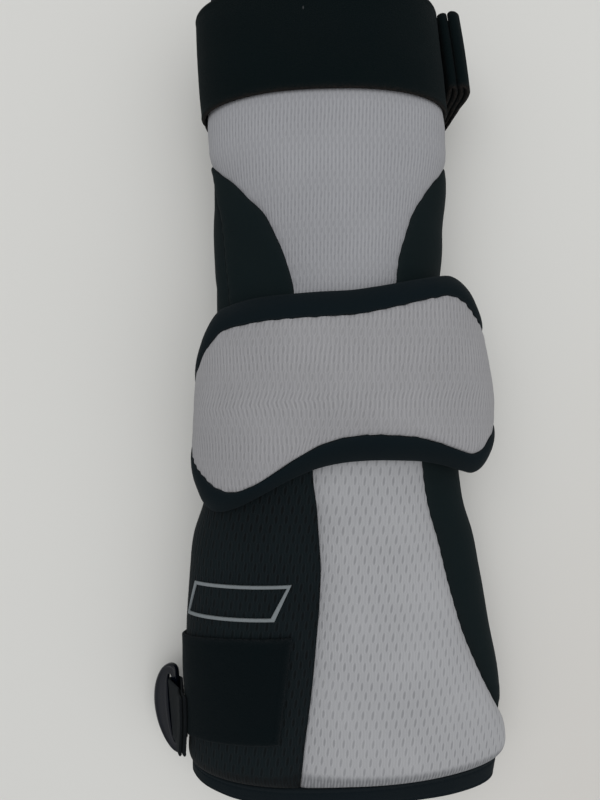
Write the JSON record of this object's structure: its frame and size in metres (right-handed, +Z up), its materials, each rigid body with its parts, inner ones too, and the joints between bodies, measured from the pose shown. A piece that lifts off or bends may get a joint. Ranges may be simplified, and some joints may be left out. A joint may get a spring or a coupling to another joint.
{
  "type": "lacrosse arm pad",
  "caption": "Padded sleeve for one arm with foam mesh panels, a saddle-shaped elbow cap, an elastic upper strap and a forearm strap with a plastic D-ring.",
  "frame": {"origin": "on the surface that the pad lies on, under the middle of its bounding box", "axes": "+Y along the arm from the cuff to the shoulder end, +Z up from the back of the sleeve to the padded front, +X across the arm to the right seen from above"},
  "size_m": [0.1878, 0.406, 0.0803],
  "materials": {
    "upper_grey_mesh": "knitted mesh over foam",
    "lower_grey_mesh": "open knitted mesh over foam",
    "cap_grey_mesh": "ribbed knitted mesh over foam",
    "black_mesh": "open knitted mesh over foam",
    "smooth_black_fabric": "smooth stretch knit",
    "stretch_fabric": "thin stretch knit",
    "hem_fabric": "folded binding",
    "cap_rim_fabric": "smooth stretch knit over foam",
    "elastic": "brushed elastic band",
    "velour": "looped velour",
    "webbing": "woven tape",
    "badge_print": "raised matt print",
    "ring_plastic": "glossy moulded"
  },
  "bodies": {
    "root": {"sleeve_back": "stretch_fabric", "upper_center_panel": "upper_grey_mesh", "upper_left_panel": "smooth_black_fabric", "upper_right_panel": "smooth_black_fabric", "forearm_center_panel": "lower_grey_mesh", "forearm_left_panel": "black_mesh", "forearm_right_panel": "smooth_black_fabric", "top_hem": "hem_fabric", "bottom_hem": "hem_fabric", "elbow_cap_face": "cap_grey_mesh", "elbow_cap_rim": "cap_rim_fabric", "upper_strap": "elastic", "upper_strap_end": "elastic", "forearm_strap": "velour", "ring_keeper": "webbing", "badge_frame": "badge_print", "forearm_ring": "ring_plastic"}
  },
  "joints": []
}
